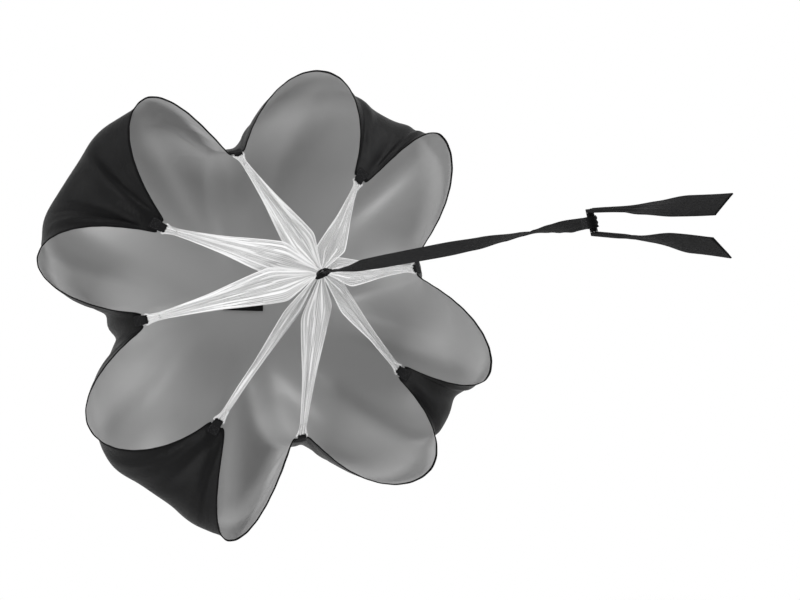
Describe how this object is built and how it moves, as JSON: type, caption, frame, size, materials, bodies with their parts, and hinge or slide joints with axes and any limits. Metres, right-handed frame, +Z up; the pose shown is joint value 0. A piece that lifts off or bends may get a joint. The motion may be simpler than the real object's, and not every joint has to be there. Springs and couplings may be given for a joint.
{
  "type": "speed parachute",
  "caption": "Inflated running parachute: square cloth canopy with net straps gathered at a hub, a webbing tether and an open waist belt.",
  "frame": {"origin": "front face of the hub, where the net straps meet and the tether is linked on", "axes": "+X from the hub along the tether towards the runner's belt, +Z up, so -X points into the canopy's mouth"},
  "size_m": [3.099, 1.0288, 1.0563],
  "materials": {
    "canopy_cloth": "coated taffeta, black outside and grey inside",
    "rim_tape": "woven binding tape",
    "webbing": "woven nylon webbing",
    "belt_webbing": "woven nylon webbing",
    "strap_net": "fine knitted net",
    "hook_face": "hook tape",
    "loop_face": "loop tape"
  },
  "bodies": {
    "parachute": {"canopy": "canopy_cloth", "rim_tape_1": "rim_tape", "rim_tab_1": "webbing", "strap_1": "strap_net", "rim_tape_2": "rim_tape", "rim_tab_2": "webbing", "strap_2": "strap_net", "rim_tape_3": "rim_tape", "rim_tab_3": "webbing", "strap_3": "strap_net", "rim_tape_4": "rim_tape", "rim_tab_4": "webbing", "strap_4": "strap_net", "rim_tape_5": "rim_tape", "rim_tab_5": "webbing", "strap_5": "strap_net", "rim_tape_6": "rim_tape", "rim_tab_6": "webbing", "strap_6": "strap_net", "rim_tape_7": "rim_tape", "rim_tab_7": "webbing", "strap_7": "strap_net", "rim_tape_8": "rim_tape", "rim_tab_8": "webbing", "strap_8": "strap_net", "apex_tab": "webbing", "hub_wrap": "webbing", "hub_loop": "webbing"},
    "link": {"tether_eye": "webbing"},
    "tether": {"tether": "webbing", "tether_loop": "webbing", "belt_bight": "belt_webbing"},
    "belt_upper": {"belt_arm_upper": "belt_webbing", "hook_patch": "hook_face"},
    "belt_lower": {"belt_arm_lower": "belt_webbing", "loop_patch": "loop_face"}
  },
  "joints": [
    {"name": "tether_yaw", "type": "hinge", "parent": "parachute", "child": "link", "pos_m": [0.0135, 0, 0], "axis": [0, 0, 1], "range_deg": [-80, 80]},
    {"name": "tether_pitch", "type": "hinge", "parent": "link", "child": "tether", "pos_m": [0.0663, 0, 0], "axis": [0, 1, 0], "range_deg": [-85, 85]},
    {"name": "belt_upper_swing", "type": "hinge", "parent": "tether", "child": "belt_upper", "pos_m": [1.7, 0, 0], "axis": [0, 0, 1], "range_deg": [-20, 110]},
    {"name": "belt_lower_swing", "type": "hinge", "parent": "tether", "child": "belt_lower", "pos_m": [1.7, 0, 0], "axis": [0, 0, 1], "range_deg": [-110, 20]}
  ]
}
